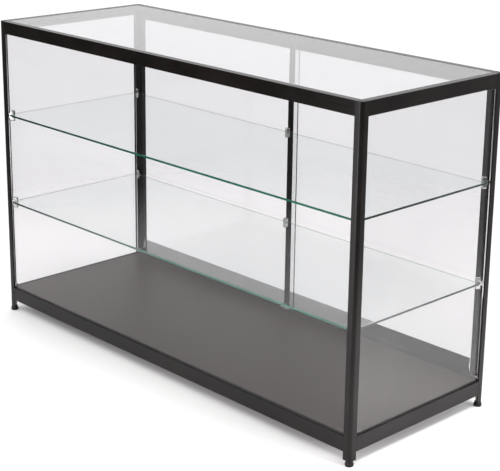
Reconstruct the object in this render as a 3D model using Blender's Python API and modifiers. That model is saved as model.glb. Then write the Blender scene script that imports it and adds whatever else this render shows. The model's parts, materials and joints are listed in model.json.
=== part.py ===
"""Retail glass display showcase, built as an assembly of separate pieces.

Frame: metres, +Z up, X along the counter's length, the customer's side facing -Y.
The origin is on the floor, under the middle of the case.

Two local frames are used all through the file.  A side frame looks at one side of the
case from outside: s runs along the side to the right, u runs inwards from its outer face.
A corner frame sits on one of the four outer vertical edges: u and v run inwards along
the two outer faces that meet there.
"""

import math

import bmesh
import bpy
from mathutils import Matrix, Vector

# Overall size.
WIDTH = 1.500
DEPTH = 0.550
HEIGHT = 0.948
GAP = 0.0003  # clearance kept between neighbouring pieces
TURN_STEPS = 24  # sides of a turned piece
HOLE_STEPS = 16  # sides of a small hole
MERGE_DISTANCE = 0.00005  # closes a turned piece at its axis
CUTTER_EXTRA = 0.010  # how far a cutter passes the surface that it opens
SMOOTH_ANGLE = 32  # degrees; a sharper edge than this stays sharp

# Frame extrusions.
BASE = 0.038  # floor to the underside of the bottom rails
POST_LEG = 0.024  # width of each outer face of a corner post
POST_TIP = 0.003  # thickness of the post at the free edge of each face
POST_ROUND = 0.010  # radius of the post's outer edge
POST_ROUND_STEPS = 6
LEG_BOTTOM = 0.0154  # height of the posts' lower ends
TOP_RAIL = 0.038  # height of the top rails
BOTTOM_RAIL = 0.042  # height of the bottom rails
RAIL_LIP = 0.021  # width of the top rails' upper face
RAIL_LEDGE = 0.028  # how far in the ledge under the top glass reaches
LEDGE_THICKNESS = 0.003
RAIL_WALL = 0.0052  # outer wall of the top rails, in front of the panes
PANE_POCKET = 0.014  # space behind that wall, up from the rails' underside
RAIL_BOX = 0.016  # depth of the rails' solid part
REAR_BOX = 0.020  # the same for the two rear rails, which carry the door tracks
MITRE_GAP = 0.00025
FLOOR = BASE + BOTTOM_RAIL  # level of the bottom rails' upper face and of the deck

# Glass.
PANE = 0.005  # thickness of the fixed panes
PANE_FACE = 0.0056  # from the case's outer face to the pane's outer face
PANE_END = 0.0217  # from the case's corner to the pane's vertical edge
PANE_RISE = 0.013  # how far the panes go up behind the top rails' outer wall
GROOVE_OUT = 0.004  # glazing groove in the bottom rails, from the outer face
GROOVE_IN = 0.0122
GROOVE_DEPTH = 0.008
SEAL_WALL = 0.001
SEAL_RISE = 0.001  # how far the seals stand out of their grooves
SHELF = 0.006  # thickness of the shelves
UPPER_SHELF_TOP = 0.653
LOWER_SHELF_TOP = 0.369
SHELF_SIDE = 0.015  # shelf edges, from the case's outer faces
SHELF_FRONT = 0.0135
SHELF_REAR = 0.0316
SHELF_DUB = 0.0036  # cut-off front corners of the shelves

# Deck.
DECK = 0.016
DECK_EDGE = RAIL_BOX + GAP
DECK_LEDGE = 0.010  # how far the bottom rails' ledge reaches under the deck

# Sliding doors, measured inwards from the rear face.
TRACK_OUT = 0.002
TRACK_WALL = 0.001
CHANNEL = 0.0072
TRACK_BASE = 0.0015
TRACK_HEIGHT = 0.010
DOOR_GLASS = 0.004
DOOR_HEAD = 0.0045  # from the top rails' underside down to the door glass
DOOR_OVERLAP = 0.020  # each door's meeting edge passes the middle by this
DOOR_EDGE = 0.0304  # door glass, from the case's side face
SHOE_WALL = 0.0009
SHOE_BOTTOM = 0.0845
SHOE_TOP = 0.130
SHOE_POCKET_TOP = 0.0940
SHOE_GROOVE = 0.0118
SHOE_END = 0.0508  # closing end of a shoe, from the case's side face
PULL_START = 0.0293
PULL_END = 0.0455
PULL_WALL = 0.0008
PULL_HEAD = 0.002  # from the upper track down to the pull
JAMB_START = 0.0256
JAMB_END = 0.0386
JAMB_BASE = 0.0032
BUMPER_BOTTOM = 0.100
TRACK_DEPTH = 3 * TRACK_WALL + 2 * CHANNEL
OUTER_DOOR = TRACK_OUT + TRACK_WALL + CHANNEL / 2
INNER_DOOR = OUTER_DOOR + TRACK_WALL + CHANNEL

# Rear mullion.
MULLION_WIDTH = 0.0165
MULLION_BACK = 0.0203
MULLION_FRONT = 0.0280

# Rollers in the door shoes.
ROLLER_RADIUS = 0.0055
ROLLER_HALF = 0.0020
AXLE_RADIUS = 0.0012
AXLE_HALF = 0.0033
AXLE_HOLE = 0.0015
ROLLER_FROM_END = 0.060
ROLLER_HEIGHT = FLOOR + GAP + TRACK_BASE + GAP + ROLLER_RADIUS

# Lock on the outer door's shoe.
LOCK_WIDTH = 0.034
LOCK_HEIGHT = 0.026
LOCK_THICKNESS = 0.0028
LOCK_PLUG_RADIUS = 0.0060
LOCK_PLUG_DEPTH = 0.0020
LOCK_PLUG_CHAMFER = 0.0004
LOCK_CENTRE_Z = 0.110
KEYWAY = (0.0016, 0.0070)  # width and height of the key slot

# Clips that hold the shelves and the deck.
CLIP_WIDTH = 0.010
CLIP_ABOVE = 0.0145
CLIP_BELOW = 0.0145
CLIP_BACK = 0.003
CLIP_ROUND = 0.005
FRONT_CLIP_REACH = 0.021
REAR_CLIP_REACH = 0.025
REAR_CLIP_BACK = 0.0125
REAR_CLIP_SHIFT = 0.0022  # off the middle of the post's slanted face, towards the front
MULLION_CLIP_REACH = 0.018
FLOOR_CLIP_REACH = 0.012
DECK_CLIP_REACH = 0.0098
DECK_CLIP_HEIGHT = 0.012

# Levelling feet.
FOOT_AXIS = 0.0095  # from both outer faces of the post
FOOT_RADIUS = 0.01175
FOOT_PAD = 0.006
FOOT_PAD_BEVEL = 0.0015  # at the pad's upper edge
FOOT_SHOULDER = 0.002  # height of the slope from the pad to the boss
FOOT_BEVEL = 0.001  # at the pad's lower edge and the stem's top
FOOT_BOSS = 0.0070
STEM_RADIUS = 0.0040
STEM_TOP = 0.0430
BORE_RADIUS = 0.0043
BORE_TOP = 0.0460

SIDES = {
    "front": (0, (0, -DEPTH / 2), WIDTH),
    "right": (90, (WIDTH / 2, 0), DEPTH),
    "rear": (180, (0, DEPTH / 2), WIDTH),
    "left": (270, (-WIDTH / 2, 0), DEPTH),
}
CORNERS = {
    "front_left": (0, (-WIDTH / 2, -DEPTH / 2)),
    "front_right": (90, (WIDTH / 2, -DEPTH / 2)),
    "rear_right": (180, (WIDTH / 2, DEPTH / 2)),
    "rear_left": (270, (-WIDTH / 2, DEPTH / 2)),
}
# Colour, roughness, metallic and alpha of each finish.
FINISHES = {
    "black_aluminium": ((0.013, 0.012, 0.012), 0.32, 0.0, 1.0),
    "clear_glass": ((0.88, 0.93, 0.91), 0.02, 0.0, 0.15),
    "shelf_glass": ((0.30, 0.62, 0.50), 0.02, 0.0, 0.20),
    "deck_laminate": ((0.035, 0.028, 0.026), 0.35, 0.0, 1.0),
    "chrome": ((0.75, 0.74, 0.72), 0.12, 1.0, 1.0),
    "rubber": ((0.015, 0.015, 0.015), 0.75, 0.0, 1.0),
    "nylon": ((0.75, 0.74, 0.70), 0.45, 0.0, 1.0),
    "pull_plastic": ((0.16, 0.14, 0.12), 0.40, 0.0, 1.0),
    "clear_plastic": ((0.70, 0.72, 0.74), 0.20, 0.0, 0.6),
    "foot_plastic": ((0.012, 0.012, 0.012), 0.45, 0.0, 1.0),
}

# Frame for sections along a side: x is u, y is the height, z runs along the side.
LAY_DOWN = Matrix(((0, 0, 1, 0), (1, 0, 0, 0), (0, 1, 0, 0), (0, 0, 0, 1)))


def clear_scene():
    for obj in list(bpy.data.objects):
        bpy.data.objects.remove(obj, do_unlink=True)


def new_collection(name):
    collection = bpy.data.collections.new(name)
    bpy.context.scene.collection.children.link(collection)
    return collection


def make_materials():
    made = {}
    for name, (colour, roughness, metallic, alpha) in FINISHES.items():
        material = bpy.data.materials.new(name)
        material.use_nodes = True
        shader = material.node_tree.nodes["Principled BSDF"]
        shader.inputs["Base Color"].default_value = (*colour, 1.0)
        shader.inputs["Roughness"].default_value = roughness
        shader.inputs["Metallic"].default_value = metallic
        shader.inputs["Alpha"].default_value = alpha
        material.diffuse_color = (*colour, alpha)
        made[name] = material
    return made


clear_scene()
PARTS = new_collection("glass_display_showcase")
CUTTERS = new_collection("cutters")
MATERIALS = make_materials()


def place(obj, matrix, finish):
    """Puts a finished object in the scene, as a part or, with no finish, as a cutter."""
    obj.matrix_world = matrix
    if finish is None:
        CUTTERS.objects.link(obj)
        obj.hide_render = True
        obj.display_type = "WIRE"
    else:
        PARTS.objects.link(obj)
        obj.data.materials.append(MATERIALS[finish])
    return obj


def side_matrix(side):
    """World matrix of a side frame: local x is s, local y is u."""
    angle, (x, y), _ = SIDES[side]
    return Matrix.Translation((x, y, 0)) @ Matrix.Rotation(math.radians(angle), 4, "Z")


def corner_matrix(corner):
    """World matrix of a corner frame: local x is u, local y is v."""
    angle, (x, y) = CORNERS[corner]
    return Matrix.Translation((x, y, 0)) @ Matrix.Rotation(math.radians(angle), 4, "Z")


def shade(mesh):
    """Smooth over the small angles of round stretches, sharp elsewhere."""
    mesh.shade_smooth()
    mesh.set_sharp_from_angle(angle=math.radians(SMOOTH_ANGLE))


def extruded(name, outline, low, high, matrix, finish, shift=None):
    """Solid between two copies of a flat outline, drawn in local x and y, along local z.

    shift(x, y) moves the two end faces: it is taken off both ends where it is positive.
    """
    bm = bmesh.new()
    bottom = [bm.verts.new((x, y, low)) for x, y in outline]
    face = bm.faces.new(bottom)
    grown = bmesh.ops.extrude_face_region(bm, geom=[face])["geom"]
    top = [v for v in grown if isinstance(v, bmesh.types.BMVert)]
    for vert in top:
        vert.co.z = high
    if shift:
        for vert in bottom:
            vert.co.z += shift(vert.co.x, vert.co.y)
        for vert in top:
            vert.co.z -= shift(vert.co.x, vert.co.y)
    bmesh.ops.recalc_face_normals(bm, faces=bm.faces)
    mesh = bpy.data.meshes.new(name)
    bm.to_mesh(mesh)
    bm.free()
    shade(mesh)
    return place(bpy.data.objects.new(name, mesh), matrix, finish)


def block(name, low, high, matrix, finish):
    """Box between two corners of a local frame."""
    low, high = Vector(low), Vector(high)
    bm = bmesh.new()
    bmesh.ops.create_cube(bm, size=1.0)
    bmesh.ops.scale(bm, vec=high - low, verts=bm.verts)
    bmesh.ops.translate(bm, vec=(low + high) / 2, verts=bm.verts)
    mesh = bpy.data.meshes.new(name)
    bm.to_mesh(mesh)
    bm.free()
    return place(bpy.data.objects.new(name, mesh), matrix, finish)


def cylinder(name, radius, low, high, matrix, segments=20):
    """Cutter along local z between two heights."""
    bm = bmesh.new()
    bmesh.ops.create_cone(
        bm,
        cap_ends=True,
        segments=segments,
        radius1=radius,
        radius2=radius,
        depth=high - low,
    )
    bmesh.ops.translate(bm, vec=(0, 0, (low + high) / 2), verts=bm.verts)
    mesh = bpy.data.meshes.new(name)
    bm.to_mesh(mesh)
    bm.free()
    return place(bpy.data.objects.new(name, mesh), matrix, None)


def turned(name, profile, matrix, finish):
    """Solid of revolution about local z, from a profile that runs down its outer side."""
    line = bpy.data.meshes.new(name + "_profile")
    edges = [(i, i + 1) for i in range(len(profile) - 1)]
    line.from_pydata([(r, 0, z) for r, z in profile], edges, [])
    obj = place(bpy.data.objects.new(name, line), matrix, finish)
    screw = obj.modifiers.new("turn", "SCREW")
    screw.steps = TURN_STEPS
    screw.render_steps = TURN_STEPS
    screw.use_merge_vertices = True
    screw.merge_threshold = MERGE_DISTANCE
    graph = bpy.context.evaluated_depsgraph_get()
    solid = bpy.data.meshes.new_from_object(obj.evaluated_get(graph))
    obj.modifiers.remove(screw)
    obj.data = solid
    bpy.data.meshes.remove(line)
    shade(solid)
    return obj


def cut(obj, cutter):
    modifier = obj.modifiers.new("cut_" + cutter.name, "BOOLEAN")
    modifier.operation = "DIFFERENCE"
    modifier.object = cutter


def arc(centre, radius, start, end, steps):
    """Points on a circle from one angle to another, in degrees."""
    points = []
    for i in range(steps + 1):
        angle = math.radians(start + (end - start) * i / steps)
        x = centre[0] + radius * math.cos(angle)
        y = centre[1] + radius * math.sin(angle)
        points.append((x, y))
    return points


# ---------------------------------------------------------------- corner posts


def post_outline():
    """Two outer faces with a rounded edge between them, and a slanted inner face."""
    outline = [(POST_LEG, 0), (POST_LEG, POST_TIP), (POST_TIP, POST_LEG), (0, POST_LEG)]
    return outline + arc((POST_ROUND, POST_ROUND), POST_ROUND, 180, 270, POST_ROUND_STEPS)


def post_clearance_outline():
    """The post's outline with the clearance added, open to the outside."""
    leg = POST_LEG + GAP
    tip = POST_TIP + GAP * (math.sqrt(2) - 1)
    outside = -CUTTER_EXTRA
    return [(outside, outside), (leg, outside), (leg, tip), (tip, leg), (outside, leg)]


def make_posts():
    """The four posts, and the cutters that fit the rails round them."""
    clearances = {}
    for corner in CORNERS:
        matrix = corner_matrix(corner)
        name = "post_" + corner
        post = extruded(name, post_outline(), LEG_BOTTOM, HEIGHT, matrix, "black_aluminium")
        axis = matrix @ Matrix.Translation((FOOT_AXIS, FOOT_AXIS, 0))
        below = LEG_BOTTOM - CUTTER_EXTRA
        cut(post, cylinder("bore_" + corner, BORE_RADIUS, below, BORE_TOP, axis))
        clearances[corner] = extruded(
            "clearance_" + corner,
            post_clearance_outline(),
            LEG_BOTTOM,
            HEIGHT + CUTTER_EXTRA,
            matrix,
            None,
        )
    return clearances


def foot_profile():
    return [
        (0, STEM_TOP),
        (STEM_RADIUS - FOOT_BEVEL, STEM_TOP),
        (STEM_RADIUS, STEM_TOP - FOOT_BEVEL),
        (STEM_RADIUS, LEG_BOTTOM - GAP),
        (FOOT_BOSS, LEG_BOTTOM - GAP),
        (FOOT_BOSS, FOOT_PAD + FOOT_SHOULDER),
        (FOOT_RADIUS - FOOT_PAD_BEVEL, FOOT_PAD),
        (FOOT_RADIUS, FOOT_PAD - FOOT_PAD_BEVEL),
        (FOOT_RADIUS, FOOT_BEVEL),
        (FOOT_RADIUS - FOOT_BEVEL, 0),
        (0, 0),
    ]


def make_feet():
    for corner in CORNERS:
        matrix = corner_matrix(corner) @ Matrix.Translation((FOOT_AXIS, FOOT_AXIS, 0))
        turned("foot_" + corner, foot_profile(), matrix, "foot_plastic")


# ---------------------------------------------------------------- rails


def top_rail_outline(rear):
    """Section in (u, depth below the case's top): lip, glass ledge, box and outer wall."""
    ledge_top = PANE + 2 * GAP
    ledge_bottom = ledge_top + LEDGE_THICKNESS
    outline = [(0, 0), (RAIL_LIP, 0), (RAIL_LIP, ledge_top), (RAIL_LEDGE, ledge_top)]
    outline.append((RAIL_LEDGE, ledge_bottom))
    if rear:
        return outline + [(REAR_BOX, ledge_bottom), (REAR_BOX, TOP_RAIL), (0, TOP_RAIL)]
    pocket = TOP_RAIL - PANE_POCKET
    return outline + [
        (RAIL_BOX, ledge_bottom),
        (RAIL_BOX, pocket),
        (RAIL_WALL, pocket),
        (RAIL_WALL, TOP_RAIL),
        (0, TOP_RAIL),
    ]


def bottom_rail_outline(rear):
    """Section in (u, depth below the deck's level): glazing groove, box and deck ledge."""
    box = REAR_BOX if rear else RAIL_BOX
    ledge_top = DECK + GAP
    ledge = box + DECK_LEDGE
    groove = []
    if not rear:
        groove = [
            (GROOVE_OUT, 0),
            (GROOVE_OUT, GROOVE_DEPTH),
            (GROOVE_IN, GROOVE_DEPTH),
            (GROOVE_IN, 0),
        ]
    return [(0, 0), *groove, (box, 0), (box, ledge_top), (ledge, ledge_top)] + [
        (ledge, ledge_top + LEDGE_THICKNESS),
        (box, ledge_top + LEDGE_THICKNESS),
        (box, BOTTOM_RAIL),
        (0, BOTTOM_RAIL),
    ]


def make_rail(name, side, outline, top, clearances):
    """Extrusion along one side with mitred ends, fitted round the two posts there."""
    length = SIDES[side][2]
    flat = [(u, top - depth) for u, depth in outline]
    rail = extruded(
        name,
        flat,
        -length / 2,
        length / 2,
        side_matrix(side) @ LAY_DOWN,
        "black_aluminium",
        shift=lambda u, height: u + MITRE_GAP,
    )
    for corner, cutter in clearances.items():
        if side in corner.split("_"):
            cut(rail, cutter)


def make_rails(clearances):
    for side in SIDES:
        rear = side == "rear"
        make_rail("top_rail_" + side, side, top_rail_outline(rear), HEIGHT, clearances)
        make_rail("bottom_rail_" + side, side, bottom_rail_outline(rear), FLOOR, clearances)


# ---------------------------------------------------------------- glass and deck


def make_panes():
    edge = RAIL_LIP + GAP
    low = (-WIDTH / 2 + edge, -DEPTH / 2 + edge, HEIGHT - PANE - GAP)
    high = (WIDTH / 2 - edge, DEPTH / 2 - edge, HEIGHT - GAP)
    block("glass_top", low, high, Matrix(), "clear_glass")
    bottom = FLOOR - GROOVE_DEPTH + SEAL_WALL + 2 * GAP
    top = HEIGHT - TOP_RAIL + PANE_RISE
    for side in ("front", "left", "right"):
        half = SIDES[side][2] / 2 - PANE_END
        low = (-half, PANE_FACE, bottom)
        high = (half, PANE_FACE + PANE, top)
        block("glass_" + side, low, high, side_matrix(side), "clear_glass")


def make_seals():
    """U-shaped glazing seals that hold the panes' lower edges in the rails' grooves."""
    base = FLOOR - GROOVE_DEPTH + GAP
    top = FLOOR + SEAL_RISE
    out, inner = GROOVE_OUT + GAP, GROOVE_IN - GAP
    outline = [(out, base), (inner, base), (inner, top), (inner - SEAL_WALL, top)] + [
        (inner - SEAL_WALL, base + SEAL_WALL),
        (out + SEAL_WALL, base + SEAL_WALL),
        (out + SEAL_WALL, top),
        (out, top),
    ]
    for side in ("front", "left", "right"):
        half = SIDES[side][2] / 2 - POST_LEG
        matrix = side_matrix(side) @ LAY_DOWN
        extruded("seal_" + side, outline, -half, half, matrix, "rubber")


def make_deck():
    low = (-WIDTH / 2 + DECK_EDGE, -DEPTH / 2 + DECK_EDGE, FLOOR - DECK)
    high = (WIDTH / 2 - DECK_EDGE, DEPTH / 2 - REAR_BOX - GAP, FLOOR)
    block("deck_panel", low, high, Matrix(), "deck_laminate")


def make_shelves():
    x = WIDTH / 2 - SHELF_SIDE
    front = -DEPTH / 2 + SHELF_FRONT
    rear = DEPTH / 2 - SHELF_REAR
    outline = [
        (-x, rear),
        (-x, front + SHELF_DUB),
        (-x + SHELF_DUB, front),
        (x - SHELF_DUB, front),
        (x, front + SHELF_DUB),
        (x, rear),
    ]
    for name, top in (("shelf_upper", UPPER_SHELF_TOP), ("shelf_lower", LOWER_SHELF_TOP)):
        extruded(name, outline, top - SHELF, top, Matrix(), "shelf_glass")


# ---------------------------------------------------------------- rear doors


def track_outline(base, lip):
    """Double channel in (u, height): a base at one level and three walls up to another."""
    first = TRACK_OUT
    floor = base + math.copysign(TRACK_BASE, lip - base)
    outline = [(first, base), (first + TRACK_DEPTH, base)]
    for wall in (2, 1, 0):
        start = first + wall * (TRACK_WALL + CHANNEL)
        if wall < 2:
            outline.append((start + TRACK_WALL, floor))
        outline += [(start + TRACK_WALL, lip), (start, lip)]
        if wall > 0:
            outline.append((start, floor))
    return outline


def make_tracks():
    half = WIDTH / 2 - POST_LEG - GAP
    matrix = side_matrix("rear") @ LAY_DOWN
    base = FLOOR + GAP
    lower = track_outline(base, base + TRACK_HEIGHT)
    extruded("door_track_lower", lower, -half, half, matrix, "black_aluminium")
    base = HEIGHT - TOP_RAIL - GAP
    upper = track_outline(base, base - TRACK_HEIGHT)
    extruded("door_track_upper", upper, -half, half, matrix, "black_aluminium")


def jamb_outline():
    """Double channel that takes the doors' closing edges, in the corner frame's (u, v)."""
    slot = JAMB_START + JAMB_BASE
    outline = [(JAMB_START, TRACK_OUT), (JAMB_END, TRACK_OUT)]
    for wall in (0, 1):
        start = TRACK_OUT + wall * (TRACK_WALL + CHANNEL) + TRACK_WALL
        outline += [(JAMB_END, start), (slot, start)]
        outline += [(slot, start + CHANNEL), (JAMB_END, start + CHANNEL)]
    outline += [(JAMB_END, TRACK_OUT + TRACK_DEPTH), (JAMB_START, TRACK_OUT + TRACK_DEPTH)]
    return outline


def rear_end_matrix(hand):
    """Frame at the rear corner of one hand: u runs inwards along the length, v forwards."""
    sign = 1 if hand == "left" else -1
    return Matrix.Translation((-sign * WIDTH / 2, DEPTH / 2, 0)) @ Matrix(
        ((sign, 0, 0, 0), (0, -1, 0, 0), (0, 0, 1, 0), (0, 0, 0, 1))
    )


def end_points(outline, matrix):
    """An outline of a rear end frame as world x and y."""
    return [(matrix @ Vector((u, v, 0)))[:2] for u, v in outline]


def make_jambs():
    low = FLOOR + GAP + TRACK_HEIGHT + GAP
    high = HEIGHT - TOP_RAIL - 2 * GAP - TRACK_HEIGHT
    for hand in ("left", "right"):
        outline = end_points(jamb_outline(), rear_end_matrix(hand))
        extruded("jamb_" + hand, outline, low, high, Matrix(), "black_aluminium")


def make_mullion():
    half = MULLION_WIDTH / 2
    low = (-half, DEPTH / 2 - MULLION_FRONT, FLOOR + GAP)
    top = HEIGHT - PANE - 3 * GAP - LEDGE_THICKNESS
    block("rear_mullion", low, (half, DEPTH / 2 - MULLION_BACK, top), Matrix(), "black_aluminium")


def pull_outline(centre):
    """U-shaped edge grip round a door's closing edge, in the rear end frame."""
    inner = DOOR_GLASS / 2 + GAP
    outer = inner + PULL_WALL
    base = PULL_START + PULL_WALL
    return [
        (PULL_START, centre - outer),
        (PULL_END, centre - outer),
        (PULL_END, centre - inner),
        (base, centre - inner),
        (base, centre + inner),
        (PULL_END, centre + inner),
        (PULL_END, centre + outer),
        (PULL_START, centre + outer),
    ]


def shoe_outline(centre):
    """Section of a door's bottom rail in (u, height): glass groove above, roller pocket below."""
    inner = DOOR_GLASS / 2 + GAP
    outer = inner + SHOE_WALL
    groove = SHOE_TOP - SHOE_GROOVE
    return [
        (centre - outer, SHOE_BOTTOM),
        (centre - inner, SHOE_BOTTOM),
        (centre - inner, SHOE_POCKET_TOP),
        (centre + inner, SHOE_POCKET_TOP),
        (centre + inner, SHOE_BOTTOM),
        (centre + outer, SHOE_BOTTOM),
        (centre + outer, SHOE_TOP),
        (centre + inner, SHOE_TOP),
        (centre + inner, groove),
        (centre - inner, groove),
        (centre - inner, SHOE_TOP),
        (centre - outer, SHOE_TOP),
    ]


def bumper_outline(centre):
    """Section of a door's bumper in (u, height): it stands under the glass and holds its edge."""
    inner = DOOR_GLASS / 2 + GAP
    outer = inner + SHOE_WALL
    groove = SHOE_TOP - SHOE_GROOVE
    return [
        (centre - outer, BUMPER_BOTTOM),
        (centre + outer, BUMPER_BOTTOM),
        (centre + outer, SHOE_TOP),
        (centre + inner, SHOE_TOP),
        (centre + inner, groove),
        (centre - inner, groove),
        (centre - inner, SHOE_TOP),
        (centre - outer, SHOE_TOP),
    ]


def roller_profile():
    return [
        (0, AXLE_HALF),
        (AXLE_RADIUS, AXLE_HALF),
        (AXLE_RADIUS, ROLLER_HALF),
        (ROLLER_RADIUS, ROLLER_HALF),
        (ROLLER_RADIUS, -ROLLER_HALF),
        (AXLE_RADIUS, -ROLLER_HALF),
        (AXLE_RADIUS, -AXLE_HALF),
        (0, -AXLE_HALF),
    ]


def make_door(hand):
    """One sliding door: glass, bottom shoe with two rollers, edge pull and its bumper."""
    sign = -1 if hand == "left" else 1
    centre = INNER_DOOR if hand == "left" else OUTER_DOOR
    matrix = rear_end_matrix(hand)
    y = DEPTH / 2 - centre
    meeting = -sign * DOOR_OVERLAP
    name = "door_" + hand

    glass_end = sign * (WIDTH / 2 - DOOR_EDGE)
    low = (min(meeting, glass_end), y - DOOR_GLASS / 2, SHOE_TOP - SHOE_GROOVE + GAP)
    high = (max(meeting, glass_end), y + DOOR_GLASS / 2, HEIGHT - TOP_RAIL - DOOR_HEAD)
    block(name + "_glass", low, high, Matrix(), "clear_glass")

    shoe_end = sign * (WIDTH / 2 - SHOE_END)
    lay_down = Matrix(((0, 0, 1, 0), (-1, 0, 0, DEPTH / 2), (0, 1, 0, 0), (0, 0, 0, 1)))
    ends = sorted((meeting, shoe_end))
    shoe = extruded(name + "_shoe", shoe_outline(centre), *ends, lay_down, "black_aluminium")
    along_y = Matrix.Rotation(math.radians(90), 4, "X")
    stations = {
        "outer": shoe_end - sign * ROLLER_FROM_END,
        "inner": meeting + sign * ROLLER_FROM_END,
    }
    for station, x in stations.items():
        axle = Matrix.Translation((x, y, ROLLER_HEIGHT)) @ along_y
        through = (-CUTTER_EXTRA, CUTTER_EXTRA)
        hole = cylinder(f"{name}_hole_{station}", AXLE_HOLE, *through, axle, HOLE_STEPS)
        cut(shoe, hole)
        turned(f"{name}_roller_{station}", roller_profile(), axle, "nylon")

    outline = end_points(pull_outline(centre), matrix)
    top = HEIGHT - TOP_RAIL - TRACK_HEIGHT - PULL_HEAD
    extruded(name + "_pull", outline, SHOE_TOP + GAP, top, Matrix(), "pull_plastic")
    jamb_side = sign * (WIDTH / 2 - JAMB_END - GAP)
    ends = sorted((jamb_side, shoe_end + sign * GAP))
    extruded(name + "_bumper", bumper_outline(centre), *ends, lay_down, "clear_plastic")


def make_lock():
    """Lock plate on the outer door's shoe, with a turning plug in its round seat."""
    face = DEPTH / 2 - OUTER_DOOR + DOOR_GLASS / 2 + GAP + SHOE_WALL + GAP
    back = face + LOCK_THICKNESS
    half = LOCK_WIDTH / 2
    centre = Matrix.Translation((half - DOOR_OVERLAP, back, LOCK_CENTRE_Z))
    low = (-half, -LOCK_THICKNESS, -LOCK_HEIGHT / 2)
    plate = block("lock_plate", low, (half, 0, LOCK_HEIGHT / 2), centre, "black_aluminium")
    # Local z of the plug frame points out of the case's rear.
    out = centre @ Matrix.Rotation(math.radians(-90), 4, "X")
    depth = (-LOCK_PLUG_DEPTH - GAP, CUTTER_EXTRA)
    cut(plate, cylinder("lock_seat", LOCK_PLUG_RADIUS + GAP, *depth, out, TURN_STEPS))
    profile = [
        (0, 0),
        (LOCK_PLUG_RADIUS - LOCK_PLUG_CHAMFER, 0),
        (LOCK_PLUG_RADIUS, -LOCK_PLUG_CHAMFER),
        (LOCK_PLUG_RADIUS, -LOCK_PLUG_DEPTH),
        (0, -LOCK_PLUG_DEPTH),
    ]
    plug = turned("lock_plug", profile, out, "chrome")
    width, height = KEYWAY[0] / 2, KEYWAY[1] / 2
    low = (-width, -height, -LOCK_PLUG_DEPTH / 2)
    cut(plug, block("keyway", low, (width, height, CUTTER_EXTRA), out, None))


# ---------------------------------------------------------------- clips


def clip_outline(start, back, reach, top, bottom):
    """Side view of a clip in (distance, height): two rounded jaws on a back block.

    The slot between the jaws takes a shelf whose top is at height 0.
    """
    slot_top, slot_bottom = GAP, -SHELF - GAP
    r = CLIP_ROUND
    outline = [(start, bottom), (reach - r, bottom)]
    outline += arc((reach - r, bottom + r), r, -90, 0, 4)[1:]
    outline += [(reach, slot_bottom), (start + back, slot_bottom)]
    outline += [(start + back, slot_top), (reach, slot_top)]
    outline += arc((reach - r, top - r), r, 0, 90, 4)
    return outline + [(start, top)]


def deck_clip_outline(start, reach):
    r = CLIP_ROUND
    outline = [(start, 0), (reach, 0)]
    outline += arc((reach - r, DECK_CLIP_HEIGHT - r), r, 0, 90, 4)
    return outline + [(start, DECK_CLIP_HEIGHT)]


def clip_matrix(corner, height):
    """Frame on a post's slanted inner face: x points inwards, y up, z across the clip."""
    face = (POST_LEG + POST_TIP) / 2
    inwards = Matrix.Translation((face, face, height)) @ Matrix.Rotation(math.radians(45), 4, "Z")
    return corner_matrix(corner) @ inwards @ Matrix.Rotation(math.radians(90), 4, "X")


def mullion_matrix(height):
    forwards = Matrix.Translation((0, DEPTH / 2 - MULLION_FRONT, height))
    turn = Matrix.Rotation(math.radians(-90), 4, "Z") @ Matrix.Rotation(math.radians(90), 4, "X")
    return forwards @ turn


def make_clips():
    half = CLIP_WIDTH / 2
    jaws = (CLIP_ABOVE, -SHELF - CLIP_BELOW)
    for level, top in (("upper", UPPER_SHELF_TOP), ("lower", LOWER_SHELF_TOP)):
        for corner in CORNERS:
            rear = corner.startswith("rear")
            back = REAR_CLIP_BACK if rear else CLIP_BACK
            reach = REAR_CLIP_REACH if rear else FRONT_CLIP_REACH
            outline = clip_outline(GAP, back, reach, *jaws)
            aside = REAR_CLIP_SHIFT if rear else 0
            aside = -aside if corner.endswith("right") else aside
            matrix = clip_matrix(corner, top) @ Matrix.Translation((0, 0, aside))
            extruded(f"clip_{level}_{corner}", outline, -half, half, matrix, "chrome")
        outline = clip_outline(GAP, CLIP_BACK, MULLION_CLIP_REACH, *jaws)
        extruded(f"clip_{level}_mullion", outline, -half, half, mullion_matrix(top), "chrome")
    outline = deck_clip_outline(GAP, DECK_CLIP_REACH)
    for corner in CORNERS:
        matrix = clip_matrix(corner, FLOOR + GAP)
        extruded("deck_clip_" + corner, outline, -half, half, matrix, "chrome")
    # The clip at the mullion's foot lies on the deck with its jaws upwards.
    y = DEPTH / 2 - MULLION_FRONT - GAP
    on_deck = Matrix(((0, 1, 0, SHELF / 2), (0, 0, 1, y), (1, 0, 0, FLOOR), (0, 0, 0, 1)))
    outline = clip_outline(GAP, CLIP_BACK, FLOOR_CLIP_REACH, *jaws)
    extruded("deck_clip_mullion", outline, -CLIP_WIDTH, 0, on_deck, "chrome")


def main():
    clearances = make_posts()
    make_feet()
    make_rails(clearances)
    make_panes()
    make_seals()
    make_deck()
    make_shelves()
    make_tracks()
    make_jambs()
    make_mullion()
    make_door("left")
    make_door("right")
    make_lock()
    make_clips()


main()
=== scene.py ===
import json
import math

import bmesh
import bpy
from mathutils import Matrix, Vector

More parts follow.
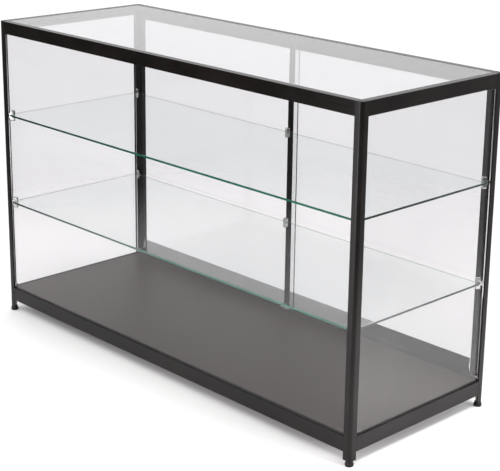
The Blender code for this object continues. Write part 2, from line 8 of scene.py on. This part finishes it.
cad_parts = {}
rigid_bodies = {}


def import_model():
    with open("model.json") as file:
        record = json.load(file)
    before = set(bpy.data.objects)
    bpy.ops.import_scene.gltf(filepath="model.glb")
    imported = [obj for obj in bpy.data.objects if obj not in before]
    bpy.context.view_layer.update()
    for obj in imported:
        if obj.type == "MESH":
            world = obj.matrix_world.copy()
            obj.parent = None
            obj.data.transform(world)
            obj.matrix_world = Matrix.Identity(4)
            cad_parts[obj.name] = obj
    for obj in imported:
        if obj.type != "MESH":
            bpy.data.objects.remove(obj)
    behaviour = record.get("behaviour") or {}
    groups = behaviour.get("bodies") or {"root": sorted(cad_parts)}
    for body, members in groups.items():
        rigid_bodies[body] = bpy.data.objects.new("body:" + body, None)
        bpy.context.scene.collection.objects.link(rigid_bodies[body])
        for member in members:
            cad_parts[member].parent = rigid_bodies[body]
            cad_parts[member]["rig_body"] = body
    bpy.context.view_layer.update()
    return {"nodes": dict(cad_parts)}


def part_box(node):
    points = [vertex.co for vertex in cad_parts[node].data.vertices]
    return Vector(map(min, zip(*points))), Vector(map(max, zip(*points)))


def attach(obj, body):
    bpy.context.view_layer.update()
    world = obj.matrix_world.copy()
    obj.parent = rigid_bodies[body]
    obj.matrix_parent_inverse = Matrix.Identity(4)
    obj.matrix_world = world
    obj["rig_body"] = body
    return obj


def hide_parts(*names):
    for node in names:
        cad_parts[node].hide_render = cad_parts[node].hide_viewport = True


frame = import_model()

# A glass display counter: black aluminium frame, clear panes, two glass shelves, a dark
# laminate deck and two sliding doors at the rear. Metres, Z up, the counter's front towards -Y.
# The frame's own nodes stay, except the clips and the feet, which get finer pieces.

NODES = frame["nodes"]
UP = (0.0, 0.0, 1.0)

# Camera
CAMERA_PLACE = (2.8604, -2.6557, 1.6527)
CAMERA_AZIMUTH = math.radians(45.377)
CAMERA_PITCH = math.radians(16.552)
CAMERA_ROLL = math.radians(0.973)
CAMERA_LENS = 99.90
CAMERA_SENSOR = 36.0
CAMERA_SHIFT = (-0.0403, -0.0741)
CAMERA_RANGE = (0.05, 500.0)
LIGHT_BOUNCES = 32

# Room: its brightness, and the spans in which that changes. At 1 a view goes straight
# rearwards or up, and at 0 it is square to that
ROOM_COLOUR = (1.0, 0.995, 1.0)
REAR_LEVEL = 1.06
FRONT_LEVEL = 0.06  # low down on the camera's side
FRONT_HIGH_LEVEL = 0.80  # on the camera's side, above the horizon
CEILING_LEVEL = 1.45
REARWARDS = (-0.50, 0.866, 0.0)
REAR_SPAN = (-0.05, 0.90)
HORIZON_SPAN = (0.02, 0.14)
CEILING_SPAN = (0.35, 0.75)

# Floor
FLOOR_REACH = 14.0
FLOOR_STEPS = 96
FLOOR_CENTRE = (0.0, 0.1, 0.0)
FLOOR_SOLID = 1.25  # the floor fades into the room between these distances
FLOOR_GONE = 2.4
FLOOR_GREY, FLOOR_PALE = (0.745, 0.738, 0.735), (0.775, 0.768, 0.763)

# Softboxes: name, place, target, size, power and what mirrors them
SOFTBOXES = (
    ("rear_softbox", (-1.2, 2.2, 3.0), (0.0, 0.0, 0.2), (2.4, 1.6), 8.0, "everything"),
    ("front_fill", (0.6, -2.6, 3.4), (0.0, -0.6, 0.0), (2.6, 1.6), 62.0, "nothing"),
    ("front_low", (-0.3, -3.0, 0.5), (-0.1, 0.0, 0.0), (2.4, 0.6), 40.0, "nothing"),
    ("front_strip", (0.08, -1.65, 0.45), (0.72, -0.27, 0.9), (0.26, 0.6), 12.0, "all but glass"),
    ("side_fill", (3.0, 0.6, 0.55), (0.9, 0.0, 0.0), (1.4, 0.7), 75.0, "nothing"),
)

# Spot lamp, for the floor beside the counter
SPOT_PLACE = (1.9, 0.1, 2.6)
SPOT_TARGET = (1.35, 0.05, 0.0)
SPOT_CONE = math.radians(34.0)
SPOT_SOFTNESS = 0.25
SPOT_POWER = 480.0

# Edges of the nodes that stay
WELD_DISTANCE = 1e-6
EDGE_ANGLE = math.radians(30)
EDGE_STEPS = 2
METAL_EDGE = 0.0005
GLASS_EDGE = 0.0003
FINE_EDGE = 0.0002

# Colours, linear: pairs are the two ends of a faint variation
BLACK, WORN_BLACK = (0.0030, 0.0022, 0.0022), (0.0070, 0.0056, 0.0052)
SIDE_TINTS = ((0.925, 0.920, 0.928), (0.912, 0.907, 0.916))
# The end and top panes are the same glass as the sides; their darker tints are painted shade
END_TINTS_PAINTED_SHADE = ((0.865, 0.860, 0.868), (0.850, 0.845, 0.853))
TOP_TINTS_PAINTED_SHADE = ((0.820, 0.812, 0.828), (0.805, 0.797, 0.812))
SHELF_TINTS = ((0.998, 0.975, 0.985), (0.985, 0.965, 0.975))
# The shelves' long edges: their emerald, painted darker at the left and brighter at the right, as
# painted shade and painted light
SHELF_EMERALDS_PAINTED_SHADE_TO_LIGHT = ((0.002, 0.030, 0.024), (0.003, 0.190, 0.115))  # left and right
# The shelves' short ends: painted shade, near black
SHELF_END_PAINTED_SHADE = (0.004, 0.022, 0.018)
SHELF_DEPTH = (0.42, 0.75, 0.64)
DECK_DARKS = ((0.019, 0.0096, 0.0078), (0.027, 0.0145, 0.0117))
DECK_GRAIN = (0.036, 0.0205, 0.0165)
CHROMES = ((0.50, 0.49, 0.475), (0.68, 0.67, 0.65))

# Tints of the lamp light and bounced light that comes through the glass
UPRIGHT_SHADE = (0.86, 0.855, 0.865)
TOP_SHADE = (0.80, 0.79, 0.805)
SHELF_SHADE = (0.82, 0.86, 0.85)

# Refraction and glass
DECK_INDEX = 1.24
CLEAR_PLASTIC_INDEX = 1.49
GLASS_INDEX = 1.52
SIDE_INDEX = 1.36  # low, so that the upright panes mirror as weakly as they do in the photo
END_INDEX = 1.38
TOP_INDEX = 1.56
SHELF_DENSITY = 16.0
EDGE_CLEARNESS = 0.35  # how much light a shelf's edge lets through
# Where along X the shelves' edges go from painted shade to painted light
PAINTED_EDGE_LIGHT_SPAN = (-0.70, 0.10)  # along X, where the shelves' edges turn from dark to bright

# Textures: the scales of noise along the axes, per metre, and how strongly it shows
LINES_ACROSS, LINES_ALONG = 900.0, 6.0
GRAIN_SCALE = (14.0, 260.0, 60.0)
GRAIN_SHARE = 0.55  # how much the grain colours the deck at most
POLISH_SCALE = (350.0, 350.0, 1400.0)
PORE_ROUGHNESS = 0.06  # how far a plastic's roughness strays

# Levelling feet: radius and height of the pad and collar, from the floor up
FOOT_PROFILE = [
    (0.0080, 0.0), (0.0100, 0.0005), (0.0113, 0.0018), (0.01175, 0.0036), (0.01175, 0.0068),
    (0.0111, 0.0086), (0.0098, 0.0094), (0.0096, 0.0100), (0.0096, 0.0146), (0.0092, 0.0150),
    (0.0040, 0.0150),
]
FOOT_STEPS = 72
FLUTES = 18
FLUTE_DEPTH = 0.0006
FLUTE_LOW, FLUTE_HIGH = 0.0030, 0.0080
STEM_RADIUS = 0.0039
STEM_TOP = 0.0428
COLLAR_TOP = 0.0151
THREAD_PITCH = 0.0012
THREAD_DEPTH = 0.0005

# Chrome clips: two jaws on a web, and a socket screw
CLIP_WIDTH = 0.010
CLIP_STEPS = 12
CLIP_SLOT = 0.0062
CLIP_LIP = 0.0005
CLIP_DOME = 0.0034
DOME_STEPS = 6
JAW_LENGTH = 0.0145
WEB_DEPTH = 0.0015
WEB_RISE = 0.0030
SCREW_STEPS = 24
SCREW_RADIUS = 0.0021
SCREW_RISE = 0.0006
SOCKET_RADIUS = 0.0011
SOCKET_DEPTH = 0.0009

# Finer pieces and where they go
REPLACED = ("clip_", "deck_clip_", "foot_")
SMOOTH_ANGLE = math.radians(35)
LEVELS = ("upper", "lower")
CORNERS = {  # and the way inwards from each
    "front_left": (1.0, 1.0, 0.0),
    "front_right": (-1.0, 1.0, 0.0),
    "rear_left": (1.0, -1.0, 0.0),
    "rear_right": (-1.0, -1.0, 0.0),
}


class NodeTree:
    """A node tree under construction, with short ways to add nodes."""

    def __init__(self, tree):
        self.nodes = tree.nodes
        self.links = tree.links

    def feed(self, socket, value):
        """Link a socket to another one, or set it to a number, a vector or a colour."""
        if isinstance(value, bpy.types.NodeSocket):
            self.links.new(value, socket)
        elif socket.type == "RGBA":
            socket.default_value = (*value, 1.0)
        else:
            socket.default_value = value

    def put(self, node, *ordered, **named):
        """Feed inputs of a node in their order, or by name with _ for a space."""
        for index, value in enumerate(ordered):
            self.feed(node.inputs[index], value)
        for name, value in named.items():
            self.feed(node.inputs[name.replace("_", " ")], value)
        return node

    def add(self, kind, *ordered, settings=None, **named):
        """Add a node, apply its settings and feed its inputs."""
        node = self.nodes.new("ShaderNode" + kind)
        for name, value in (settings or {}).items():
            setattr(node, name, value)
        return self.put(node, *ordered, **named)

    def between(self, value, low, high, span=(0.3, 0.7), smooth=False):
        """A number that goes from low to high as value crosses a span."""
        kind = "SMOOTHSTEP" if smooth else "LINEAR"
        node = self.add("MapRange", Value=value, From_Min=span[0], From_Max=span[1],
                        To_Min=low, To_Max=high, settings={"interpolation_type": kind})
        return node.outputs["Result"]

    def work_out(self, operation, *values, clamped=False):
        """A number worked out from one or two others."""
        settings = {"operation": operation, "use_clamp": clamped}
        return self.add("Math", *values, settings=settings).outputs["Value"]


class Shader(NodeTree):
    """A material under construction."""

    def __init__(self, name):
        self.material = bpy.data.materials.new(name)
        self.material.use_nodes = True
        super().__init__(self.material.node_tree)
        self.surface = self.nodes["Principled BSDF"]
        self.exit = self.nodes["Material Output"]
        coordinates = self.add("TexCoord").outputs
        self.place = coordinates["Object"]
        self.facing = coordinates["Normal"]

    def stretched(self, scale):
        """Object coordinates, scaled differently along each axis."""
        return self.add("Mapping", Vector=self.place, Scale=scale).outputs["Vector"]

    def noise(self, scale, detail=2.0, where=None):
        node = self.add("TexNoise", Vector=where or self.place, Scale=scale, Detail=detail)
        return node.outputs["Fac"]

    def spread(self, value):
        """The middle of a value's range, spread over 0 to 1."""
        return self.between(value, 0.0, 1.0)

    def blend(self, value, first, second):
        """A colour between two, by value."""
        node = self.add("Mix", value, settings={"data_type": "RGBA"})
        self.feed(node.inputs[6], first)
        self.feed(node.inputs[7], second)
        return node.outputs[2]

    def bump(self, height, strength, distance, **under):
        """A normal that follows a height, on top of another Normal if one is given."""
        node = self.add("Bump", Height=height, Strength=strength, Distance=distance, **under)
        return node.outputs["Normal"]

    def mix_surfaces(self, share, first, second):
        """Show the second of two surfaces by its share."""
        mix = self.add("MixShader", share, first.outputs[0], second.outputs[0])
        self.feed(self.exit.inputs["Surface"], mix.outputs[0])

    def finish(self, **inputs):
        self.put(self.surface, **inputs)
        return self.material


def anodised(name, along, smooth=0.21, rough=0.28):
    """Anodised aluminium, with fine extrusion lines along one axis."""
    shader = Shader(name)
    stretch = [LINES_ACROSS] * 3
    stretch["XYZ".index(along)] = LINES_ALONG
    lines = shader.noise(scale=1.0, detail=3.0, where=shader.stretched(stretch))
    clouds = shader.noise(scale=9.0, detail=4.0)
    pits = shader.noise(scale=2600.0)
    normal = shader.bump(lines, strength=0.10, distance=0.00005)
    normal = shader.bump(pits, strength=0.12, distance=0.00004, Normal=normal)
    return shader.finish(
        Base_Color=shader.blend(shader.spread(clouds), BLACK, WORN_BLACK),
        Roughness=shader.between(lines, smooth, rough),
        Specular_IOR_Level=0.20,
        Normal=normal,
    )


def float_glass(shader, tints):
    """The faint film and the faint waves of float glass, as a colour and a normal."""
    film = shader.spread(shader.noise(scale=7.0, detail=3.0))
    waves = shader.noise(scale=2.5, detail=1.0)
    return shader.blend(film, *tints), shader.bump(waves, strength=0.05, distance=0.0004)


def pass_light(shader, shade):
    """Let lamps and bounced light through the glass, and keep its mirror and lens for the eye."""
    path = shader.add("LightPath").outputs
    seen = shader.work_out("MAXIMUM", path["Is Camera Ray"], path["Is Singular Ray"])
    share = shader.work_out("SUBTRACT", seen, path["Is Shadow Ray"], clamped=True)
    clear = shader.add("BsdfTransparent", Color=shade)
    shader.mix_surfaces(share, clear, shader.surface)


def glass(name, tints, shade, index):
    """A pane of float glass."""
    shader = Shader(name)
    colour, normal = float_glass(shader, tints)
    pass_light(shader, shade)
    return shader.finish(
        Base_Color=colour,
        Roughness=0.0,
        IOR=index,
        Transmission_Weight=1.0,
        Normal=normal,
    )


def shelf_glass(name):
    """Shelf glass: nearly colourless through its faces, emerald at its long edges with painted
    shade to the left and painted light to the right, and painted shade on its short ends.
    """
    shader = Shader(name)
    faces, normal = float_glass(shader, SHELF_TINTS)
    along = shader.add("SeparateXYZ", shader.place).outputs["X"]
    # Painted shade and painted light: the long edges grow brighter along X
    brightness = shader.between(along, 0.0, 1.0, PAINTED_EDGE_LIGHT_SPAN)
    emerald = shader.blend(brightness, *SHELF_EMERALDS_PAINTED_SHADE_TO_LIGHT)
    facing = shader.add("SeparateXYZ", shader.facing).outputs
    # Painted shade: the ends that face along X are darkened
    painted_end_shade_share = shader.work_out("ABSOLUTE", facing["X"])
    flat = shader.work_out("ABSOLUTE", facing["Z"])
    edges = shader.blend(shader.spread(painted_end_shade_share), emerald, SHELF_END_PAINTED_SHADE)
    pass_light(shader, SHELF_SHADE)
    depth = shader.add("VolumeAbsorption", Color=SHELF_DEPTH, Density=SHELF_DENSITY)
    shader.put(shader.exit, Volume=depth.outputs[0])
    return shader.finish(
        Base_Color=shader.blend(shader.spread(flat), edges, faces),
        Roughness=0.0,
        IOR=GLASS_INDEX,
        Transmission_Weight=shader.between(flat, EDGE_CLEARNESS, 1.0),
        Normal=normal,
    )


def laminate(name):
    """Dark brown melamine: a fine pressed texture and a satin sheen."""
    shader = Shader(name)
    speckle = shader.noise(scale=420.0, detail=3.0)
    clouds = shader.noise(scale=5.0, detail=4.0)
    grain = shader.noise(scale=1.0, detail=4.0, where=shader.stretched(GRAIN_SCALE))
    dark = shader.blend(shader.spread(clouds), *DECK_DARKS)
    return shader.finish(
        Base_Color=shader.blend(shader.between(grain, 0.0, GRAIN_SHARE), dark, DECK_GRAIN),
        Roughness=shader.between(speckle, 0.37, 0.43),
        IOR=DECK_INDEX,
        Normal=shader.bump(speckle, strength=0.10, distance=0.00004),
    )


def chrome(name):
    """Bright plating, with faint polishing marks."""
    shader = Shader(name)
    marks = shader.noise(scale=1.0, detail=3.0, where=shader.stretched(POLISH_SCALE))
    clouds = shader.noise(scale=60.0)
    return shader.finish(
        Base_Color=shader.blend(clouds, *CHROMES),
        Metallic=1.0,
        Roughness=shader.between(marks, 0.16, 0.28),
        Normal=shader.bump(marks, strength=0.10, distance=0.00003),
    )


def moulded(name, dark, light, rough, **more):
    """Moulded plastic or rubber, with a fine tool texture."""
    shader = Shader(name)
    clouds = shader.noise(scale=40.0, detail=3.0)
    pores = shader.noise(scale=1800.0)
    return shader.finish(
        Base_Color=shader.blend(shader.spread(clouds), dark, light),
        Roughness=shader.between(pores, rough - PORE_ROUGHNESS, rough + PORE_ROUGHNESS),
        Normal=shader.bump(pores, strength=0.2, distance=0.00005),
        **more,
    )


ALUMINIUM = {
    "X": anodised("black_aluminium_along_x", "X"),
    "Y": anodised("black_aluminium_along_y", "Y"),
    "Z": anodised("black_aluminium_upright", "Z", smooth=0.34, rough=0.42),
}
SIDE_GLASS = glass("side_glass", SIDE_TINTS, UPRIGHT_SHADE, SIDE_INDEX)
TOP_GLASS = glass("top_glass", TOP_TINTS_PAINTED_SHADE, TOP_SHADE, TOP_INDEX)
END_GLASS = glass("end_glass", END_TINTS_PAINTED_SHADE, UPRIGHT_SHADE, END_INDEX)
SHELF_GLASS = shelf_glass("shelf_glass")
PANES = (SIDE_GLASS, TOP_GLASS, END_GLASS, SHELF_GLASS)
LAMINATE = laminate("deck_laminate")
CHROME = chrome("chrome")
RUBBER = moulded("rubber", (0.012, 0.012, 0.012), (0.022, 0.021, 0.020), 0.62)
NYLON = moulded("nylon", (0.55, 0.54, 0.50), (0.66, 0.65, 0.61), 0.42)
PULL_PLASTIC = moulded("pull_plastic", (0.014, 0.013, 0.013), (0.026, 0.025, 0.024), 0.36)
FOOT_PLASTIC = moulded("foot_plastic", (0.006, 0.006, 0.006), (0.012, 0.011, 0.011), 0.46,
                       Specular_IOR_Level=0.22)
CLEAR_PLASTIC = moulded("clear_plastic", (0.86, 0.88, 0.88), (0.95, 0.96, 0.96), 0.22,
                        Transmission_Weight=0.85, IOR=CLEAR_PLASTIC_INDEX)

# The first start of a node's name that fits gives its material, its edge and its slot.
LOOKS = (
    ("post_", ALUMINIUM["Z"], METAL_EDGE, "black_aluminium"),
    ("top_rail_front", ALUMINIUM["X"], METAL_EDGE, "black_aluminium"),
    ("top_rail_rear", ALUMINIUM["X"], METAL_EDGE, "black_aluminium"),
    ("top_rail_", ALUMINIUM["Y"], METAL_EDGE, "black_aluminium"),
    ("bottom_rail_front", ALUMINIUM["X"], METAL_EDGE, "black_aluminium"),
    ("bottom_rail_rear", ALUMINIUM["X"], METAL_EDGE, "black_aluminium"),
    ("bottom_rail_", ALUMINIUM["Y"], METAL_EDGE, "black_aluminium"),
    ("rear_mullion", ALUMINIUM["Z"], METAL_EDGE, "black_aluminium"),
    ("jamb_", ALUMINIUM["Z"], FINE_EDGE, "black_aluminium"),
    ("door_track_", ALUMINIUM["X"], FINE_EDGE, "black_aluminium"),
    ("door_left_shoe", ALUMINIUM["X"], FINE_EDGE, "black_aluminium"),
    ("door_right_shoe", ALUMINIUM["X"], FINE_EDGE, "black_aluminium"),
    ("glass_top", TOP_GLASS, GLASS_EDGE, "clear_glass"),
    ("glass_right", END_GLASS, GLASS_EDGE, "clear_glass"),
    ("glass_", SIDE_GLASS, GLASS_EDGE, "clear_glass"),
    ("door_left_glass", SIDE_GLASS, GLASS_EDGE, "clear_glass"),
    ("door_right_glass", SIDE_GLASS, GLASS_EDGE, "clear_glass"),
    ("seal_", RUBBER, FINE_EDGE, "rubber"),
    ("deck_panel", LAMINATE, METAL_EDGE, "deck_laminate"),
    ("shelf_", SHELF_GLASS, GLASS_EDGE, "shelf_glass"),
    ("lock_", CHROME, FINE_EDGE, "chrome"),
)
# For the rest, the end of the name does.
DOOR_LOOKS = (
    ("_pull", PULL_PLASTIC, FINE_EDGE, "pull_plastic"),
    ("_bumper", CLEAR_PLASTIC, FINE_EDGE, "clear_plastic"),
    ("_roller_outer", NYLON, FINE_EDGE, "nylon"),
    ("_roller_inner", NYLON, FINE_EDGE, "nylon"),
)


def look_of(name):
    """The material, the edge and the slot of a node that stays."""
    for start, *look in LOOKS:
        if name.startswith(start):
            return look
    for end, *look in DOOR_LOOKS:
        if name.endswith(end):
            return look
    raise ValueError("no look for " + name)


def soften(node, width):
    """Round every sharp edge a little, so that it catches the light."""
    weld = node.modifiers.new("weld", "WELD")
    weld.merge_threshold = WELD_DISTANCE
    bevel = node.modifiers.new("edges", "BEVEL")
    bevel.width = width
    bevel.segments = EDGE_STEPS
    bevel.limit_method = "ANGLE"
    bevel.angle_limit = EDGE_ANGLE
    bevel.use_clamp_overlap = True
    node.modifiers.new("normals", "WEIGHTED_NORMAL")


def dress_frame():
    """Give every CAD node that stays its material and its soft edges."""
    for name, node in NODES.items():
        if name.startswith(REPLACED):
            continue
        material, edge, slot = look_of(name)
        for place in node.material_slots:
            place.material = material
        soften(node, edge)


def circle(radius, height, steps):
    """A level ring of points; radius is a number, or gives one for each angle."""
    ring = []
    for step in range(steps):
        angle = 2 * math.pi * step / steps
        reach = radius(angle) if callable(radius) else radius
        ring.append((reach * math.cos(angle), reach * math.sin(angle), height))
    return ring


def loft(shape, rings):
    """Join rings of points, each with as many, into one closed skin."""
    rows = [[shape.verts.new(point) for point in ring] for ring in rings]
    for lower, upper in zip(rows, rows[1:]):
        for step in range(len(lower)):
            after = (step + 1) % len(lower)
            shape.faces.new((lower[step], lower[after], upper[after], upper[step]))
    shape.faces.new(reversed(rows[0]))
    shape.faces.new(rows[-1])


def add_piece(name, shape, material, place):
    """Turn a finished bmesh into a named object with smooth shading and kept edges."""
    for face in shape.faces:
        face.smooth = True
    for edge in shape.edges:
        edge.smooth = edge.calc_face_angle(0.0) < SMOOTH_ANGLE
    bmesh.ops.transform(shape, matrix=place, verts=shape.verts)
    mesh = bpy.data.meshes.new(name)
    shape.to_mesh(mesh)
    shape.free()
    mesh.materials.append(material)
    piece = bpy.data.objects.new(name, mesh)
    bpy.context.scene.collection.objects.link(piece)
    return piece


def clip_ring(back, inset, height):
    """A clip's outline seen along its axis: a square back and a round nose about the origin."""
    radius = CLIP_WIDTH / 2 - inset
    back += inset
    ring = [(back, -radius, height)]
    for step in range(CLIP_STEPS + 1):
        angle = math.pi * (step / CLIP_STEPS - 0.5)
        ring.append((radius * math.cos(angle), radius * math.sin(angle), height))
    ring.append((back, radius, height))
    return ring


def add_jaw(shape, back, start, end):
    """One jaw, from the glass to its domed end."""
    way = math.copysign(1.0, end - start)
    rings = [clip_ring(back, CLIP_LIP, start), clip_ring(back, 0.0, start + way * CLIP_LIP)]
    for step in range(DOME_STEPS + 1):
        angle = math.pi / 2 * step / DOME_STEPS
        inset = CLIP_DOME * (1 - math.cos(angle))
        rings.append(clip_ring(back, inset, end - way * CLIP_DOME * (1 - math.sin(angle))))
    loft(shape, rings)


def add_web(shape, start, end):
    """The block that joins two jaws behind the glass."""
    side = CLIP_WIDTH / 2 - CLIP_LIP
    corners = ((start, -side), (end, -side), (end, side), (start, side))
    reach = CLIP_SLOT / 2 + WEB_RISE
    loft(shape, [[(x, y, height) for x, y in corners] for height in (-reach, reach)])


def socket_reach(angle):
    """How far a six-sided socket's wall is from its middle."""
    return SOCKET_RADIUS / math.cos(angle % (math.pi / 3) - math.pi / 6)


def add_screw(shape, end):
    """A socket screw in the lower jaw."""
    face = end - SCREW_RISE
    loft(shape, [circle(radius, height, SCREW_STEPS) for radius, height in (
        (SCREW_RADIUS, end + CLIP_DOME),
        (SCREW_RADIUS, end - SCREW_RISE / 2),
        (SCREW_RADIUS - SCREW_RISE / 2, face),
        (socket_reach, face),
        (socket_reach, face + SOCKET_DEPTH),
    )])


def make_clip(name, reach, axis=UP, paired=True):
    """A chrome clip: two domed jaws on a web, or one jaw alone, towards the glass it holds."""
    low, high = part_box(name)
    size = high - low
    reach, axis = Vector(reach).normalized(), Vector(axis)
    across = axis.cross(reach)
    # The box of a turned clip spans parts of its length and its width; solved for the length.
    main = max(range(3), key=lambda index: abs(reach[index]))
    length = (size[main] - CLIP_WIDTH * abs(across[main])) / abs(reach[main])
    end = size.dot(axis) / 2
    foot = CLIP_WIDTH / 2 - length
    back = CLIP_WIDTH / 2 - min(length, JAW_LENGTH)
    shape = bmesh.new()
    if paired:
        add_jaw(shape, back, CLIP_SLOT / 2, end)
        add_jaw(shape, back, -CLIP_SLOT / 2, -end)
        add_web(shape, foot, back + WEB_DEPTH)
        add_screw(shape, -end)
    else:
        add_jaw(shape, back, -end, end)
    bmesh.ops.recalc_face_normals(shape, faces=shape.faces)
    turned = Matrix((reach, across, axis)).transposed().to_4x4()
    nose = (low + high) / 2 + reach * (length - CLIP_WIDTH) / 2
    place = Matrix.Translation(nose) @ turned
    clip = add_piece("bracket_" + name.replace("clip_", ""), shape, CHROME, place)
    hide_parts(name)
    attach(clip, NODES[name]["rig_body"])


def make_clips():
    """Clips for both shelves and the deck, at the posts and at the mullion."""
    for corner, inwards in CORNERS.items():
        for level in LEVELS:
            make_clip(f"clip_{level}_{corner}", inwards)
        make_clip("deck_clip_" + corner, inwards, paired=False)
    for level in LEVELS:
        make_clip(f"clip_{level}_mullion", (0.0, -1.0, 0.0))
    make_clip("deck_clip_mullion", UP, axis=(1.0, 0.0, 0.0))


def fluted(radius, depth):
    """A radius that dips between the flutes of a pad's rim."""
    return lambda angle: radius - depth * (0.5 + 0.5 * math.cos(FLUTES * angle))


def make_foot(name):
    """A levelling foot: a rounded pad with a fluted rim, a collar and a threaded stem."""
    low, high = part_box(name)
    profile = FOOT_PROFILE + [
        (STEM_RADIUS - THREAD_DEPTH * (turn % 2), COLLAR_TOP + turn * THREAD_PITCH / 2)
        for turn in range(int((STEM_TOP - COLLAR_TOP) / THREAD_PITCH * 2))
    ]
    rings = []
    for radius, height in profile:
        depth = FLUTE_DEPTH if FLUTE_LOW < height < FLUTE_HIGH else 0.0
        rings.append(circle(fluted(radius, depth), height, FOOT_STEPS))
    shape = bmesh.new()
    loft(shape, rings)
    centre = (low + high) / 2
    place = Matrix.Translation((centre.x, centre.y, 0.0))
    foot = add_piece("leveller_" + name.removeprefix("foot_"), shape, FOOT_PLASTIC, place)
    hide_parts(name)
    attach(foot, NODES[name]["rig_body"])


def make_floor():
    """A pale floor that fades into the room around it."""
    mesh = bpy.data.meshes.new("studio_floor")
    shape = bmesh.new()
    bmesh.ops.create_circle(shape, cap_ends=True, radius=FLOOR_REACH, segments=FLOOR_STEPS,
                             matrix=Matrix.Translation(FLOOR_CENTRE))
    shape.to_mesh(mesh)
    shape.free()
    floor = bpy.data.objects.new("studio_floor", mesh)
    bpy.context.scene.collection.objects.link(floor)
    shader = Shader("studio_floor")
    clouds = shader.noise(scale=0.8, detail=3.0)
    away = shader.add("VectorMath", shader.place, FLOOR_CENTRE,
                      settings={"operation": "DISTANCE"}).outputs["Value"]
    fade = shader.between(away, 0.0, 1.0, (FLOOR_SOLID, FLOOR_GONE), smooth=True)
    shader.mix_surfaces(fade, shader.surface, shader.add("BsdfTransparent"))
    mesh.materials.append(shader.finish(
        Base_Color=shader.blend(clouds, FLOOR_GREY, FLOOR_PALE),
        Roughness=shader.between(shader.noise(scale=300.0), 0.55, 0.7),
        Specular_IOR_Level=0.2,
    ))


def make_world():
    """A room that is bright behind the counter and overhead, and darker on the camera's side."""
    world = bpy.data.worlds.new("studio")
    bpy.context.scene.world = world
    world.use_nodes = True
    room = NodeTree(world.node_tree)
    view = room.add("TexCoord").outputs["Generated"]

    def toward(way, span, low, high):
        """A level that goes from low to high as the view turns to a way."""
        share = room.add("VectorMath", view, Vector(way).normalized(),
                         settings={"operation": "DOT_PRODUCT"}).outputs["Value"]
        return room.between(share, low, high, span, smooth=True)

    low = toward(REARWARDS, REAR_SPAN, FRONT_LEVEL, REAR_LEVEL)
    high = toward(REARWARDS, REAR_SPAN, FRONT_HIGH_LEVEL, REAR_LEVEL)
    around = toward(UP, HORIZON_SPAN, low, high)
    mirrored = toward(UP, CEILING_SPAN, around, CEILING_LEVEL)
    # Seen directly or through glass the room is plain white; its darker side only mirrors.
    path = room.add("LightPath").outputs
    bounces = room.work_out("ADD", path["Glossy Depth"], path["Diffuse Depth"])
    level = room.between(bounces, REAR_LEVEL, mirrored, (0.0, 1.0))
    room.put(room.nodes["Background"], Strength=level, Color=ROOM_COLOUR)


def hang(lamp, place, target):
    """Hang a lamp that is aimed at a target, and not seen directly or through glass."""
    holder = bpy.data.objects.new(lamp.name, lamp)
    holder.location = place
    aim = Vector(target) - Vector(place)
    holder.rotation_euler = aim.to_track_quat("-Z", "Y").to_euler()
    holder.visible_camera = False
    holder.visible_transmission = False
    bpy.context.scene.collection.objects.link(holder)
    return holder


def spare_glass(lamp):
    """Keep a lamp's mirror image out of the panes and the shelves."""
    spared = bpy.data.collections.new(lamp.name + "_spared")
    for node in NODES.values():
        if node.active_material in PANES:
            spared.objects.link(node)
    for entry in spared.collection_objects:
        entry.light_linking.link_state = "EXCLUDE"
    lamp.light_linking.receiver_collection = spared


def add_softbox(name, place, target, size, power, mirrored_by):
    """A large rectangular lamp."""
    lamp = bpy.data.lights.new(name, "AREA")
    lamp.shape = "RECTANGLE"
    lamp.size, lamp.size_y = size
    lamp.energy = power
    box = hang(lamp, place, target)
    box.visible_glossy = mirrored_by != "nothing"
    if mirrored_by == "all but glass":
        spare_glass(box)


def add_spot(name):
    """A soft-edged spot lamp."""
    lamp = bpy.data.lights.new(name, "SPOT")
    lamp.spot_size = SPOT_CONE
    lamp.spot_blend = 1.0
    lamp.shadow_soft_size = SPOT_SOFTNESS
    lamp.energy = SPOT_POWER
    hang(lamp, SPOT_PLACE, SPOT_TARGET)


def make_camera():
    """The camera, with its roll and its shifted frame."""
    sine, cosine = math.sin(CAMERA_AZIMUTH), math.cos(CAMERA_AZIMUTH)
    level = math.cos(CAMERA_PITCH)
    back = Vector((sine * level, -cosine * level, math.sin(CAMERA_PITCH)))
    right = Vector(UP).cross(back).normalized()
    up = back.cross(right)
    turn, keep = math.sin(CAMERA_ROLL), math.cos(CAMERA_ROLL)
    columns = (keep * right + turn * up, keep * up - turn * right, back)
    settings = bpy.data.cameras.new("camera")
    settings.lens = CAMERA_LENS
    settings.sensor_width = CAMERA_SENSOR
    settings.shift_x, settings.shift_y = CAMERA_SHIFT
    settings.clip_start, settings.clip_end = CAMERA_RANGE
    camera = bpy.data.objects.new("camera", settings)
    camera.matrix_world = Matrix.Translation(CAMERA_PLACE) @ Matrix(columns).transposed().to_4x4()
    bpy.context.scene.collection.objects.link(camera)
    bpy.context.scene.camera = camera


def set_tracing():
    """Enough bounces for stacked panes and for light that runs along a shelf."""
    scene = bpy.context.scene
    scene.view_settings.view_transform = "Standard"
    if not hasattr(scene, "cycles"):
        return
    scene.cycles.max_bounces = LIGHT_BOUNCES
    scene.cycles.transmission_bounces = LIGHT_BOUNCES
    scene.cycles.glossy_bounces = LIGHT_BOUNCES
    scene.cycles.transparent_max_bounces = LIGHT_BOUNCES


dress_frame()
make_clips()
for corner in CORNERS:
    make_foot("foot_" + corner)
make_floor()
make_world()
for softbox in SOFTBOXES:
    add_softbox(*softbox)
add_spot("floor_spot")
make_camera()
set_tracing()
